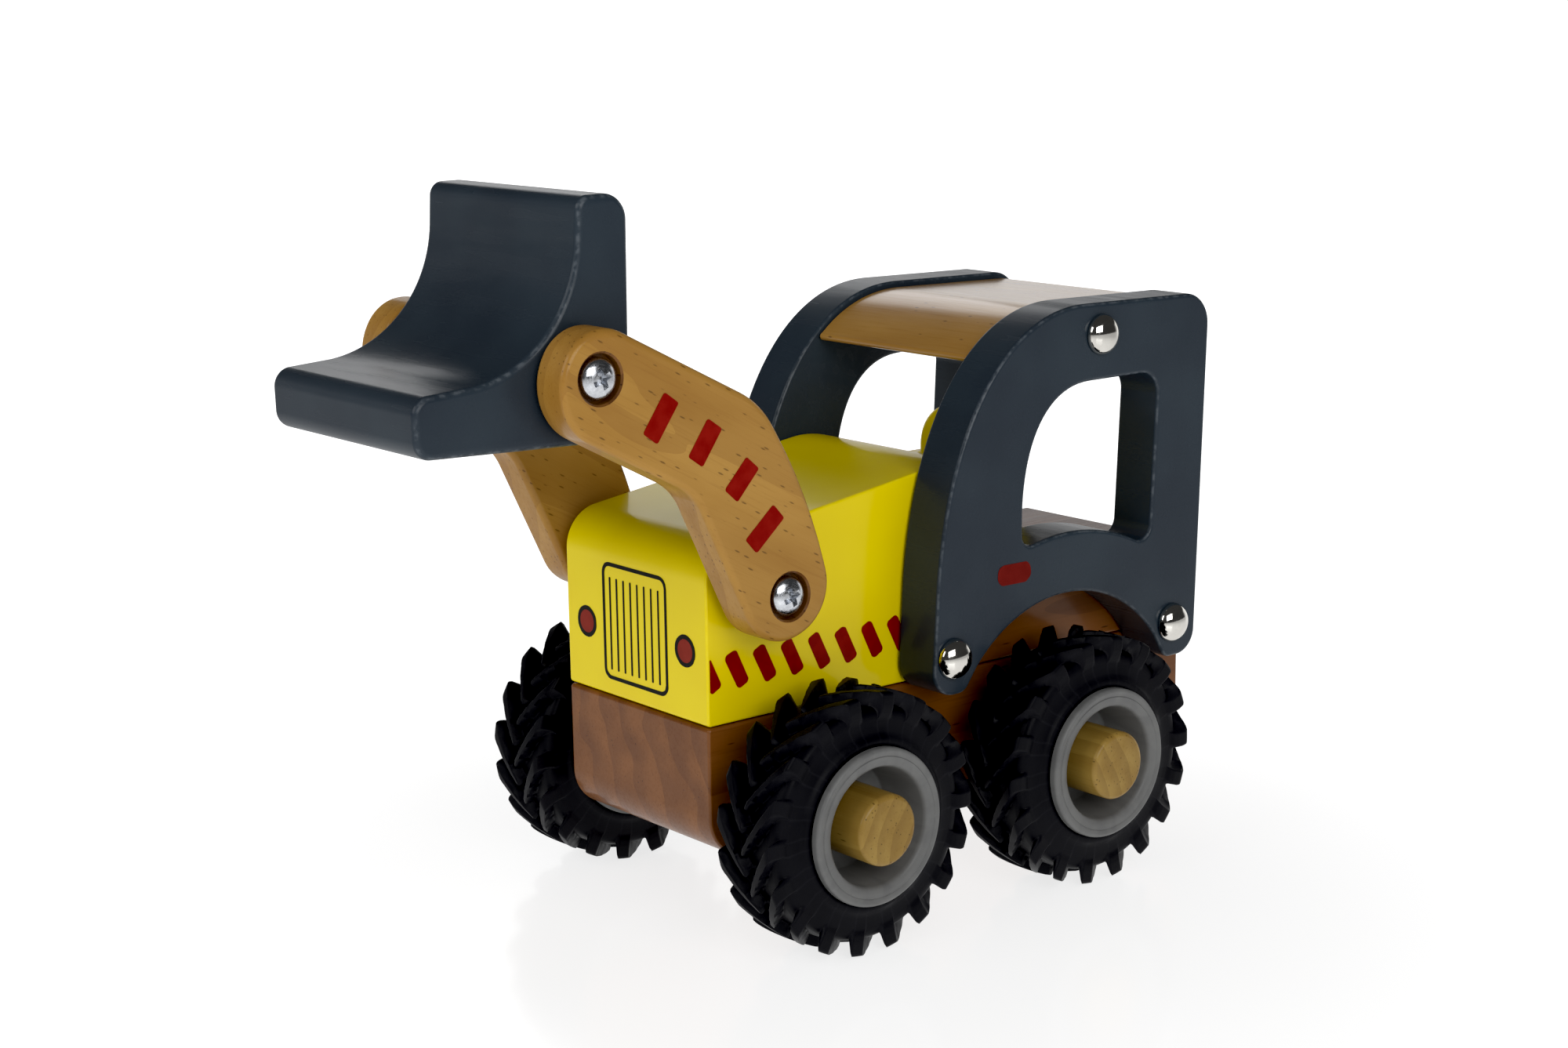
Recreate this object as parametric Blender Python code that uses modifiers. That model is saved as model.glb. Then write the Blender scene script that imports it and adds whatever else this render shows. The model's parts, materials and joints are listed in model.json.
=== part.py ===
"""Wooden toy front loader with rubber tyres, a tilting bucket and two lift arms.

The toy faces -Y, +X is its own left side and +Z is up. Lengths below are millimetres, measured
back from the hood's front face (y) and up from the ground (z), until at() turns them into metres
in the object's frame, whose origin is the middle of the bounding box's underside.
"""
import math

import bmesh
import bpy
from mathutils import Vector

MM = 0.001
GAP = 0.3                       # clearance between neighbouring pieces

# Driving dimensions
NOSE_Y = -32.8                  # hood's front face in the object's frame
BODY_HALF = 22.3                # half the width of chassis, hood, cab floor and roof
BODY_LENGTH = 126.0
PANEL_THICK = 10.8
ARM_THICK = 8.5
BUCKET_HALF = 24.1
WHEEL_RADIUS = 25.0
FRONT_AXLE_Y = 20.6
REAR_AXLE_Y = 80.6
ARM_PIVOT = (11.0, 67.7)
BUCKET_PIVOT = (-29.4, 111.9)
EDGE = 1.0                      # eased wooden edges
SMALL_ROUND = 1.2               # corner radius where two body boards meet
OVERRUN = 1.0                   # how far a cutter passes the surfaces it cuts

# Heights of the body's layers
CHASSIS_BOTTOM = 16.6
SEAM = 42.6                     # chassis top to hood and cab floor bottom
FLOOR_TOP = 60.2
HOOD_LENGTH = 67.0
ROOF_BOTTOM = 103.8
ROOF_INSET = 1.2                # how far the roof stays inside the panels' outline

# Seat
SEAT_FRONT = 80.4
SEAT_REAR = 87.4
SEAT_SHOULDER = 79.7            # height of the backrest's shoulders
SEAT_HALF = 15.0                # half the width below the shoulders
SEAT_SHOULDER_ROUND = 2.0
HEADREST_CENTRE = 81.6          # height of the round headrest's centre
HEADREST_RADIUS = 9.3
HEADREST_ROOT = -5              # degrees below the centre at which the headrest meets a shoulder

# Sideways stack on each side: body, panel or arm
PANEL_INNER = BODY_HALF + GAP
PANEL_OUTER = PANEL_INNER + PANEL_THICK
ARM_INNER = BUCKET_HALF + 2 * GAP
ARM_OUTER = ARM_INNER + ARM_THICK

# Fasteners
NAIL_HEAD_RADIUS = 4.0
NAIL_HEAD_HEIGHT = 2.6
NAIL_SHANK_RADIUS = 1.0
NAIL_LENGTH = 18.0
NAIL_POINT = 2.0
NAILS = {"top": (90.5, 107.9), "front": (50.9, 49.1), "rear": (111.8, 46.1)}
SCREW_HEAD_RADIUS = 3.7
SCREW_SHANK_RADIUS = 1.9
SCREW_LENGTH = 22.0
SCREW_HEAD_HEIGHT = 2.7
SCREW_POINT = 4.0
COUNTERBORE_RADIUS = 4.4
COUNTERBORE_DEPTH = 3.4
WASHER_RADIUS = 6.0

# Wheels: distances from the toy's middle plane
RIM_OUTER = 46.5
RIM_INNER = 23.1
AXLE_RADIUS = 4.0
AXLE_CLEARANCE = 0.4
AXLE_RECESS = 3.6               # from the hub cap's face to the axle's end
HUB_CAP_RADIUS = 6.8
HUB_CAP_OUTER = 48.8
HUB_CAP_INNER = 35.6
HUB_CAP_ROUND = 0.9
RIM_LIP_RADIUS = 15.0
RIM_CUP_FLOOR = 35.2
TYRE_MIDDLE = 36.85
TYRE_HALF = 7.55
TYRE_BORE = 13.9
CARCASS_RADIUS = 22.4
SIDEWALL_RADIUS = 20.6
LUGS_PER_ROW = 18
LUG_SKEW = 24                   # degrees a tread bar leads from its shoulder end to its middle end
LUG_SHOULDER_HALF = 4.6         # half a tread bar's width in degrees at the shoulder
LUG_MIDDLE_HALF = 2.8
LUG_ROOT = 1.2                  # how deep a tread bar is sunk into the carcass
LUG_CROSSING = 0.5              # how far a tread bar passes the tyre's middle

SIDES = {"left": 1, "right": -1}
ENDS = {"front": FRONT_AXLE_Y, "rear": REAR_AXLE_Y}
PART_NAME = "toy_front_loader"


# Points and outlines -----------------------------------------------------------------------------

def at(x, y, z):
    """A place in metres in the object's frame."""
    return Vector((x * MM, (y + NOSE_Y) * MM, z * MM))


def arc(centre, radius, start, end, step=12):
    """Points on a circle between two angles in degrees, both ends included."""
    count = max(2, math.ceil(abs(end - start) / step) + 1)
    angles = [math.radians(start + (end - start) * i / (count - 1)) for i in range(count)]
    return [(centre[0] + radius * math.cos(a), centre[1] + radius * math.sin(a)) for a in angles]


def bezier(p0, p1, p2, p3, count=12):
    """Points on a cubic Bezier curve, both ends included."""
    points = []
    for i in range(count):
        t = i / (count - 1)
        s = 1 - t
        weights = (s * s * s, 3 * s * s * t, 3 * s * t * t, t * t * t)
        points.append(tuple(sum(w * p[k] for w, p in zip(weights, (p0, p1, p2, p3))) for k in (0, 1)))
    return points


def rounded(corners, step=20):
    """Replace each (y, z, radius) corner by an arc, and keep plain (y, z) points as they are."""
    outline = []
    for i, corner in enumerate(corners):
        point = Vector(corner[:2])
        radius = corner[2] if len(corner) > 2 else 0
        if radius == 0:
            outline.append(tuple(point))
            continue
        before = (Vector(corners[i - 1][:2]) - point).normalized()
        after = (Vector(corners[(i + 1) % len(corners)][:2]) - point).normalized()
        half = before.angle(after) / 2
        centre = point + (before + after).normalized() * radius / math.sin(half)
        first = point + before * radius / math.tan(half) - centre
        last = point + after * radius / math.tan(half) - centre
        turn = first.angle_signed(last)
        count = max(2, math.ceil(abs(math.degrees(turn)) / step) + 1)
        for k in range(count):
            share = k / (count - 1)
            swing = math.sin((1 - share) * turn), math.sin(share * turn)
            outline.append(tuple(centre + (first * swing[0] + last * swing[1]) / math.sin(turn)))
    return outline


def moved(points, origin):
    """The same outline measured from another point."""
    return [(y - origin[0], z - origin[1]) for y, z in points]


# Materials ---------------------------------------------------------------------------------------

def material(name, colour, roughness, metallic=0.0):
    made = bpy.data.materials.new(name)
    made.use_nodes = True
    shader = made.node_tree.nodes["Principled BSDF"]
    shader.inputs["Base Color"].default_value = (*colour, 1)
    shader.inputs["Roughness"].default_value = roughness
    shader.inputs["Metallic"].default_value = metallic
    made.diffuse_color = (*colour, 1)
    return made


# Building blocks ---------------------------------------------------------------------------------

def collection(name):
    made = bpy.data.collections.new(name)
    bpy.context.scene.collection.children.link(made)
    return made


def finish_mesh(obj, target, made_of):
    """Put an object in its collection with its material, shaded smooth up to 35 degrees."""
    target.objects.link(obj)
    if made_of:
        obj.data.materials.clear()
        obj.data.materials.append(made_of)
    obj.data.shade_smooth()
    obj.data.set_sharp_from_angle(angle=math.radians(35))
    return obj


def cut_board(name, outlines, thickness, edge, made_of, turn, place):
    """Cut a board with eased edges from outlines in a curve's own XY plane; later ones are holes."""
    flat = bpy.data.curves.new(name, "CURVE")
    flat.dimensions = "2D"
    flat.fill_mode = "BOTH"
    flat.extrude = (thickness / 2 - edge) * MM
    flat.bevel_depth = edge * MM
    flat.bevel_resolution = 0
    flat.offset = -edge * MM
    for points in outlines:
        spline = flat.splines.new("POLY")
        spline.points.add(len(points) - 1)
        for spot, (across, up) in zip(spline.points, points):
            spot.co = (across * MM, up * MM, 0, 1)
        spline.use_cyclic_u = True
    drawn = bpy.data.objects.new(name + "_outline", flat)
    parts.objects.link(drawn)
    drawn.rotation_euler = turn
    drawn.location = place
    bpy.context.view_layer.update()
    mesh = bpy.data.meshes.new_from_object(drawn.evaluated_get(bpy.context.evaluated_depsgraph_get()))
    weld(mesh)
    solid = bpy.data.objects.new(name, mesh)
    solid.matrix_world = drawn.matrix_world
    bpy.data.objects.remove(drawn)
    bpy.data.curves.remove(flat)
    return finish_mesh(solid, parts, made_of)


def board(name, outlines, low_x, high_x, made_of, pivot=(0.0, 0.0), edge=EDGE):
    """A board across the toy, cut to YZ outlines measured from the pivot, where its origin goes."""
    # The curve's own X, Y and Z become the toy's Y, Z and X.
    turn = (math.pi / 2, 0, math.pi / 2)
    return cut_board(name, outlines, high_x - low_x, edge, made_of, turn, at((low_x + high_x) / 2, *pivot))


def weld(mesh, distance=0.00001):
    shape = bmesh.new()
    shape.from_mesh(mesh)
    bmesh.ops.remove_doubles(shape, verts=shape.verts, dist=distance)
    bmesh.ops.dissolve_degenerate(shape, dist=distance, edges=shape.edges)
    bmesh.ops.recalc_face_normals(shape, faces=shape.faces)
    shape.to_mesh(mesh)
    shape.free()


def turned(name, profile, centre, made_of, side=1, steps=24, closed=False):
    """A piece turned about an axis along X.

    The profile's (radius, x) points run from the outer end to the inner end. side -1 turns the
    piece round to face -X.
    """
    mesh = bpy.data.meshes.new(name)
    edges = [(i, i + 1) for i in range(len(profile) - 1)]
    if closed:
        edges.append((len(profile) - 1, 0))
    mesh.from_pydata([(radius * MM, 0, x * MM) for radius, x in profile], edges, [])
    piece = bpy.data.objects.new(name, mesh)
    screw = piece.modifiers.new("turn", "SCREW")
    screw.steps = steps
    screw.render_steps = steps
    screw.use_merge_vertices = True
    screw.merge_threshold = 0.00001
    piece.rotation_euler = (0, side * math.pi / 2, 0)
    piece.location = centre
    return finish_mesh(piece, parts, made_of)


def rod_cutter(name, centre, radius, start_x, end_x, sides=16):
    """A cylinder along X between two distances from the middle plane, used to drill holes."""
    mesh = bpy.data.meshes.new(name)
    shape = bmesh.new()
    bmesh.ops.create_cone(shape, cap_ends=True, segments=sides, radius1=radius * MM, radius2=radius * MM,
                          depth=abs(end_x - start_x) * MM)
    shape.to_mesh(mesh)
    shape.free()
    cutter = bpy.data.objects.new(name, mesh)
    cutter.rotation_euler = (0, math.pi / 2, 0)
    cutter.location = at((start_x + end_x) / 2, *centre)
    cutter.hide_render = True
    cutter.display_type = "WIRE"
    cutters.objects.link(cutter)
    return cutter


def drill(piece, cutter):
    hole = piece.modifiers.new(cutter.name, "BOOLEAN")
    hole.operation = "DIFFERENCE"
    hole.solver = "EXACT"
    hole.object = cutter


# Wooden body -------------------------------------------------------------------------------------

def make_chassis():
    outline = rounded([(0, CHASSIS_BOTTOM, 8.5), (BODY_LENGTH, CHASSIS_BOTTOM, 3),
                       (BODY_LENGTH, SEAM - GAP / 2, SMALL_ROUND), (0, SEAM - GAP / 2, SMALL_ROUND)])
    chassis = board("chassis", [outline], -BODY_HALF, BODY_HALF, stained_wood)
    for end, axle_y in ENDS.items():
        drill(chassis, rod_cutter(end + "_axle_bore", (axle_y, WHEEL_RADIUS), AXLE_RADIUS + AXLE_CLEARANCE,
                                  -BODY_HALF - OVERRUN, BODY_HALF + OVERRUN, sides=24))


def make_hood():
    """The yellow engine block: its top climbs gently towards the cab and levels off behind."""
    bottom = SEAM + GAP / 2
    outline = rounded([(0, bottom, SMALL_ROUND), (HOOD_LENGTH, bottom, SMALL_ROUND),
                       (HOOD_LENGTH, 83.6, 2), (61.0, 85.1, 22), (0, 76.5, 8)], step=12)
    hood = board("hood", [outline], -BODY_HALF, BODY_HALF, yellow_paint)
    for side, sign in SIDES.items():
        drill(hood, pilot_hole("hood_screw_hole_" + side, ARM_PIVOT, sign))
        drill(hood, nail_hole("hood_nail_hole_" + side, NAILS["front"], sign))


def make_cab_floor():
    front, bottom = HOOD_LENGTH + GAP, SEAM + GAP / 2
    outline = rounded([(front, bottom, SMALL_ROUND), (BODY_LENGTH, bottom, SMALL_ROUND),
                       (BODY_LENGTH, FLOOR_TOP, 2), (front, FLOOR_TOP, SMALL_ROUND)])
    floor = board("cab_floor", [outline], -BODY_HALF, BODY_HALF, stained_wood)
    for side, sign in SIDES.items():
        drill(floor, nail_hole("floor_nail_hole_" + side, NAILS["rear"], sign))


def make_seat():
    """The seat's backrest, standing across the cab floor, with a round headrest on its shoulders."""
    base = FLOOR_TOP + GAP
    headrest = arc((0, HEADREST_CENTRE), HEADREST_RADIUS, HEADREST_ROOT, 180 - HEADREST_ROOT)
    shoulder = (SEAT_HALF, SEAT_SHOULDER, SEAT_SHOULDER_ROUND)
    other_shoulder = (-SEAT_HALF, SEAT_SHOULDER, SEAT_SHOULDER_ROUND)
    neck = (headrest[0][0], SEAT_SHOULDER)
    other_neck = (headrest[-1][0], SEAT_SHOULDER)
    outline = rounded([(SEAT_HALF, base), shoulder, neck] + headrest
                      + [other_neck, other_shoulder, (-SEAT_HALF, base)])
    # The curve's own X, Y and Z become the toy's X, Z and -Y.
    turn = (math.pi / 2, 0, 0)
    cut_board("seat", [outline], SEAT_REAR - SEAT_FRONT, EDGE, yellow_paint, turn,
              at(0, (SEAT_FRONT + SEAT_REAR) / 2, 0))


# Cab ---------------------------------------------------------------------------------------------

def cab_front_curve(inset=0.0):
    """The cab's front, leaning back from the hood and rolling over into the roof line."""
    top = 114.2 - inset
    return bezier((47.2 + inset, 64.0), (50.1 + inset, 93.9), (64.5, top), (86.0, top), 11)


def panel_outline():
    arch_centre = (81.4, WHEEL_RADIUS)
    arch_radius = 32.0
    front_foot, rear_foot = 41.7, 38.7
    front_angle = 180 - math.degrees(math.asin((front_foot - arch_centre[1]) / arch_radius))
    rear_angle = math.degrees(math.asin((rear_foot - arch_centre[1]) / arch_radius))
    arch = arc(arch_centre, arch_radius, front_angle, rear_angle, step=10)
    front = [(45.7, front_foot, 5.2), (*arch[0], 3.2)]
    rear = [(*arch[-1], 2.6), (118.9, rear_foot, 5.2), (122.2, 113.5, 6.5)]
    return rounded(front + arch[2:-2] + rear + list(reversed(cab_front_curve())))


def window_outline():
    arch_centre = (82.2, WHEEL_RADIUS)
    sill = arc(arch_centre, 44.3, 100, 66, step=8)
    front = list(reversed(bezier((69.5, 73.0), (69.5, 87.0), (74.9, 98.8), (88.0, 98.8), 8)))
    rear = [(105.2, 63.3, 3.0), (107.3, 98.8, 4.6)]
    outline = rounded([(69.5, 67.7, 2.2)] + sill + rear + front)
    return list(reversed(outline))


def make_cab_panel(side, sign):
    name = "cab_panel_" + side
    low_x, high_x = sorted((sign * PANEL_INNER, sign * PANEL_OUTER))
    panel = board(name, [panel_outline(), window_outline()], low_x, high_x, grey_paint)
    for spot, place in NAILS.items():
        cutter = rod_cutter(f"{name}_{spot}_hole", place, NAIL_SHANK_RADIUS + GAP,
                            sign * (PANEL_INNER - OVERRUN), sign * (PANEL_OUTER + OVERRUN), sides=10)
        drill(panel, cutter)
        make_nail(f"nail_{side}_{spot}", place, sign)


def make_roof():
    """A flat-bottomed board whose front follows the panels' curve, just inside their outline."""
    top = [point for point in cab_front_curve(ROOF_INSET) if point[1] > ROOF_BOTTOM + OVERRUN]
    outline = rounded([(62.9, ROOF_BOTTOM, 0.8), (118.4, ROOF_BOTTOM, SMALL_ROUND), (118.4, 112.3, 2)]
                      + list(reversed(top)))
    roof = board("cab_roof", [outline], -BODY_HALF, BODY_HALF, beech, edge=0.6)
    for side, sign in SIDES.items():
        drill(roof, nail_hole("roof_nail_hole_" + side, NAILS["top"], sign))


# Fasteners ---------------------------------------------------------------------------------------

def nail_hole(name, place, sign):
    """A blind hole in the body for a nail's shank."""
    tip = PANEL_OUTER + GAP - NAIL_LENGTH
    return rod_cutter(name, place, NAIL_SHANK_RADIUS + GAP, sign * (tip - OVERRUN),
                      sign * (BODY_HALF + OVERRUN), sides=10)


def make_nail(name, place, sign):
    """Dome-headed nail: its head stands on the panel's outer face."""
    seat = PANEL_OUTER + GAP
    dome = [(NAIL_HEAD_RADIUS * math.sin(a), seat + NAIL_HEAD_HEIGHT * math.cos(a))
            for a in (math.radians(22.5 * i) for i in range(5))]
    tip = seat - NAIL_LENGTH
    shank = [(NAIL_SHANK_RADIUS, seat), (NAIL_SHANK_RADIUS, tip + NAIL_POINT), (0, tip)]
    turned(name, dome + shank, at(0, *place), steel, sign, steps=12)


def pilot_hole(name, place, sign):
    """A blind hole for a screw's shank in the side of the hood or the bucket."""
    tip = ARM_OUTER - COUNTERBORE_DEPTH + GAP - SCREW_LENGTH
    return rod_cutter(name, place, SCREW_SHANK_RADIUS + GAP, sign * (tip - OVERRUN),
                      sign * (ARM_OUTER + OVERRUN), sides=12)


def make_screw(name, place, sign):
    """Pan-head wood screw whose head sits in the arm's counterbore."""
    seat = ARM_OUTER - COUNTERBORE_DEPTH + GAP
    tip = seat - SCREW_LENGTH
    rim_height = 0.6
    dome_height = SCREW_HEAD_HEIGHT - rim_height
    crown = [(SCREW_HEAD_RADIUS * math.sin(a), seat + rim_height + dome_height * math.cos(a))
             for a in (math.radians(30 * i) for i in range(4))]
    shank = [(SCREW_HEAD_RADIUS, seat), (SCREW_SHANK_RADIUS, seat),
             (SCREW_SHANK_RADIUS, tip + SCREW_POINT), (0, tip)]
    turned(name, crown + shank, at(0, *place), zinc, sign, steps=14)


def make_washer(name, place, sign):
    """Spacer that fills the space between the hood and a lift arm."""
    inner_x, outer_x = BODY_HALF + GAP, ARM_INNER - GAP
    bore = SCREW_SHANK_RADIUS + GAP
    ring = [(bore, outer_x), (WASHER_RADIUS, outer_x), (WASHER_RADIUS, inner_x), (bore, inner_x)]
    turned(name, ring, at(0, *place), zinc, sign, steps=16, closed=True)


# Loader linkage ----------------------------------------------------------------------------------

def arm_outline():
    """An elbowed arm about 19 wide, with round ends and a slightly bowed back edge."""
    elbow_top, elbow_low = (5.5, 103.9, 18), (-9.8, 89.2, 12)
    bucket_end = [(-31.9, 123.3, 8.6), (-41.0, 106.0, 10.8)]
    body_end = [(5.4, 56.7, 9.6), (22.2, 63.5, 9.6)]
    bow = (16.1, 86.1, 100)
    return rounded([elbow_top] + bucket_end + [elbow_low] + body_end + [bow], step=12)


def make_arm(side, sign):
    name = "lift_arm_" + side
    low_x, high_x = sorted((sign * ARM_INNER, sign * ARM_OUTER))
    arm = board(name, [moved(arm_outline(), ARM_PIVOT)], low_x, high_x, beech, pivot=ARM_PIVOT)
    for spot, place in (("body", ARM_PIVOT), ("bucket", BUCKET_PIVOT)):
        drill(arm, rod_cutter(f"{name}_{spot}_bore", place, SCREW_SHANK_RADIUS + GAP,
                              sign * (ARM_INNER - OVERRUN), sign * (ARM_OUTER + OVERRUN), sides=12))
        drill(arm, rod_cutter(f"{name}_{spot}_counterbore", place, COUNTERBORE_RADIUS,
                              sign * (ARM_OUTER - COUNTERBORE_DEPTH), sign * (ARM_OUTER + OVERRUN), sides=24))
    make_screw("arm_screw_" + side, ARM_PIVOT, sign)
    make_washer("arm_washer_" + side, ARM_PIVOT, sign)
    make_screw("bucket_screw_" + side, BUCKET_PIVOT, sign)


def make_bucket():
    """A solid block with a quarter-round scoop, a level floor lip and a nearly upright back."""
    top = 142.0
    floor_front, floor_back = (-60.4, 100.3), (-16.8, 98.7)
    scoop_centre, scoop_radius = (-51.4, 135.9), 24.4
    scoop = arc(scoop_centre, scoop_radius, -4, -84, step=10)
    outline = rounded([(*floor_back, 9), (-16.2, top, 4.6), (-26.6, top, 2.6)] + scoop
                      + [(-60.6, 110.9, 3.4), (*floor_front, 3.4)])
    bucket = board("bucket", [moved(outline, BUCKET_PIVOT)], -BUCKET_HALF, BUCKET_HALF, grey_paint,
                   pivot=BUCKET_PIVOT)
    for side, sign in SIDES.items():
        drill(bucket, pilot_hole("bucket_screw_hole_" + side, BUCKET_PIVOT, sign))


# Wheels ------------------------------------------------------------------------------------------

def make_axle(end, axle_y):
    half_length = HUB_CAP_OUTER - AXLE_RECESS
    profile = [(0, half_length), (AXLE_RADIUS, half_length), (AXLE_RADIUS, -half_length), (0, -half_length)]
    turned(end + "_axle", profile, at(0, axle_y, WHEEL_RADIUS), beech, steps=24)


def make_hub_cap(name, centre, sign):
    """Dowel cap glued on the axle's end, with a blind bore."""
    bore, bore_end = AXLE_RADIUS + GAP, HUB_CAP_OUTER - AXLE_RECESS + GAP
    profile = [(0, HUB_CAP_OUTER), (HUB_CAP_RADIUS - HUB_CAP_ROUND, HUB_CAP_OUTER),
               (HUB_CAP_RADIUS, HUB_CAP_OUTER - HUB_CAP_ROUND), (HUB_CAP_RADIUS, HUB_CAP_INNER),
               (bore, HUB_CAP_INNER), (bore, bore_end), (0, bore_end)]
    turned(name, profile, centre, beech, sign, steps=20)


def make_rim(name, centre, sign):
    """Plastic rim: a cup round the hub cap outside, a tyre bed, and a hub boss inside."""
    bore = AXLE_RADIUS + AXLE_CLEARANCE
    bed = TYRE_BORE - GAP
    cup = [(bore, RIM_CUP_FLOOR), (10.6, RIM_CUP_FLOOR), (11.5, RIM_OUTER)]
    tyre_bed = [(RIM_LIP_RADIUS, RIM_OUTER), (RIM_LIP_RADIUS, 44.9), (bed, 44.3), (bed, 29.5),
                (RIM_LIP_RADIUS, 28.8), (RIM_LIP_RADIUS, 27.6)]
    boss = [(12.2, 27.6), (11.4, 32.4), (8.0, 32.4), (7.2, RIM_INNER), (bore, RIM_INNER)]
    profile = cup + tyre_bed + boss
    turned(name, profile, centre, grey_plastic, sign, steps=24, closed=True)


def add_tread_bar(shape, row, number):
    """One slanted tread bar, widest at its shoulder, made by moving a cube's corners.

    The cube's x becomes the angle round the tyre, its y the way from shoulder to middle and its z
    the radius.
    """
    pitch = 360 / LUGS_PER_ROW
    start = pitch * (number + (0.5 if row > 0 else 0))
    bar = bmesh.ops.create_cube(shape, size=2)["verts"]
    for corner in bar:
        at_middle = corner.co.y > 0
        half_width = LUG_MIDDLE_HALF if at_middle else LUG_SHOULDER_HALF
        angle = math.radians(start + (LUG_SKEW if at_middle else 0) + half_width * corner.co.x)
        radius = WHEEL_RADIUS if corner.co.z > 0 else CARCASS_RADIUS - LUG_ROOT
        along = -row * LUG_CROSSING if at_middle else row * TYRE_HALF
        corner.co = Vector((radius * math.cos(angle), radius * math.sin(angle), along)) * MM


def make_tyre_mesh():
    """Carcass and two staggered rows of tread bars, joined into one solid about +Z."""
    shoulder, side = TYRE_HALF - 1.8, TYRE_HALF - 0.4
    body_profile = [(TYRE_BORE, side), (SIDEWALL_RADIUS, side), (CARCASS_RADIUS, shoulder),
                    (CARCASS_RADIUS, -shoulder), (SIDEWALL_RADIUS, -side), (TYRE_BORE, -side)]
    carcass = turned("tyre_carcass", body_profile, Vector(), rubber, steps=36, closed=True)
    carcass.rotation_euler = (0, 0, 0)
    shape = bmesh.new()
    for row in (-1, 1):
        for number in range(LUGS_PER_ROW):
            add_tread_bar(shape, row, number)
    bmesh.ops.recalc_face_normals(shape, faces=shape.faces)
    bars_mesh = bpy.data.meshes.new("tread_bars")
    shape.to_mesh(bars_mesh)
    shape.free()
    bars = bpy.data.objects.new("tread_bars", bars_mesh)
    bars.hide_render = True
    bars.display_type = "WIRE"
    cutters.objects.link(bars)
    union = carcass.modifiers.new("bars", "BOOLEAN")
    union.operation = "UNION"
    union.solver = "EXACT"
    union.object = bars
    bpy.context.view_layer.update()
    joined = bpy.data.meshes.new_from_object(carcass.evaluated_get(bpy.context.evaluated_depsgraph_get()))
    weld(joined)
    bpy.data.objects.remove(carcass)
    bpy.data.objects.remove(bars)
    return joined


def make_wheels():
    tyre_mesh = make_tyre_mesh()
    for end, axle_y in ENDS.items():
        make_axle(end, axle_y)
        for side, sign in SIDES.items():
            centre = at(0, axle_y, WHEEL_RADIUS)
            make_hub_cap(f"hub_cap_{end}_{side}", centre, sign)
            make_rim(f"rim_{end}_{side}", centre, sign)
            tyre = bpy.data.objects.new(f"tyre_{end}_{side}", tyre_mesh)
            # Both sides' tread bars point the same way round, so the mesh isn't turned to face -X.
            tyre.rotation_euler = (0, math.pi / 2, 0)
            tyre.location = at(sign * TYRE_MIDDLE, axle_y, WHEEL_RADIUS)
            finish_mesh(tyre, parts, rubber)


# The toy -----------------------------------------------------------------------------------------

for old in list(bpy.data.objects):
    bpy.data.objects.remove(old)

parts = collection(PART_NAME)
cutters = collection("cutters")

stained_wood = material("stained_wood", (0.30, 0.13, 0.06), 0.35)
yellow_paint = material("yellow_paint", (0.85, 0.74, 0.02), 0.28)
grey_paint = material("grey_paint", (0.045, 0.058, 0.078), 0.35)
beech = material("beech", (0.62, 0.40, 0.20), 0.45)
grey_plastic = material("grey_plastic", (0.27, 0.28, 0.29), 0.40)
rubber = material("rubber", (0.012, 0.012, 0.015), 0.60)
steel = material("polished_steel", (0.75, 0.74, 0.71), 0.12, 1.0)
zinc = material("zinc_plate", (0.70, 0.71, 0.73), 0.22, 1.0)

make_chassis()
make_hood()
make_cab_floor()
make_seat()
make_roof()
for side_name, side_sign in SIDES.items():
    make_cab_panel(side_name, side_sign)
    make_arm(side_name, side_sign)
make_bucket()
make_wheels()
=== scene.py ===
"""Looks of a wooden toy front loader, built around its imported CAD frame.

The toy faces -Y, +X is its own left side and +Z is up. Lengths are millimetres, measured back from
the hood's front face (y) and up from the ground (z), and at() turns them into the frame's metres.
Sideways sizes and places, and the axles' places, are read from the CAD nodes' boxes.
"""
import json
import math

import bmesh
import bpy
from mathutils import Matrix, Quaternion, Vector, noise


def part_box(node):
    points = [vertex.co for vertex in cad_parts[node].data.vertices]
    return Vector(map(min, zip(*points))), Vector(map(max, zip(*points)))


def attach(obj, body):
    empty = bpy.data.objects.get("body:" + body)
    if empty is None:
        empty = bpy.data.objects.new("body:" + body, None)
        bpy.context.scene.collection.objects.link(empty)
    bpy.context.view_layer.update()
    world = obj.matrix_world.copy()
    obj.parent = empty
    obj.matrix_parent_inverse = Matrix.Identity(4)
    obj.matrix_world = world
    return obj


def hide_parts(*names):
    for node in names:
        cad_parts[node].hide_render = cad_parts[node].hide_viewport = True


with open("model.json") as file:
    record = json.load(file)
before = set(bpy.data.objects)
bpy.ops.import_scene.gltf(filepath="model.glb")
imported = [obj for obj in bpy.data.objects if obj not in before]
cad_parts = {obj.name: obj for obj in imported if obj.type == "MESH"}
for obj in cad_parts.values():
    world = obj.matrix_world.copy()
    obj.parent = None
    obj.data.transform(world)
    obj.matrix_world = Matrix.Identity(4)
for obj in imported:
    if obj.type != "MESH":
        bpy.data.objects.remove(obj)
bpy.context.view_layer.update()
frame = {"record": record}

MM = 0.001
NOSE_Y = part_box("hood")[0].y / MM           # hood's front face, in the frame
SIDES = {"left": 1, "right": -1}
ENDS = ("front", "rear")
NAIL_PLACES = ("front", "rear", "top")
PAINT_LIFT = 0.02                           # a painted mark's back, above the surface it is on
PAINT_FILM = 0.05                           # a painted mark's thickness

# Camera
CAMERA_AZIMUTH = 51.03
CAMERA_ELEVATION = 11.83
CAMERA_ROLL = -0.9
CAMERA_DISTANCE = 0.5161
CAMERA_TARGET = (0.0025, 0.0018, 0.0731)
CAMERA_LENS = 60.76

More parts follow.
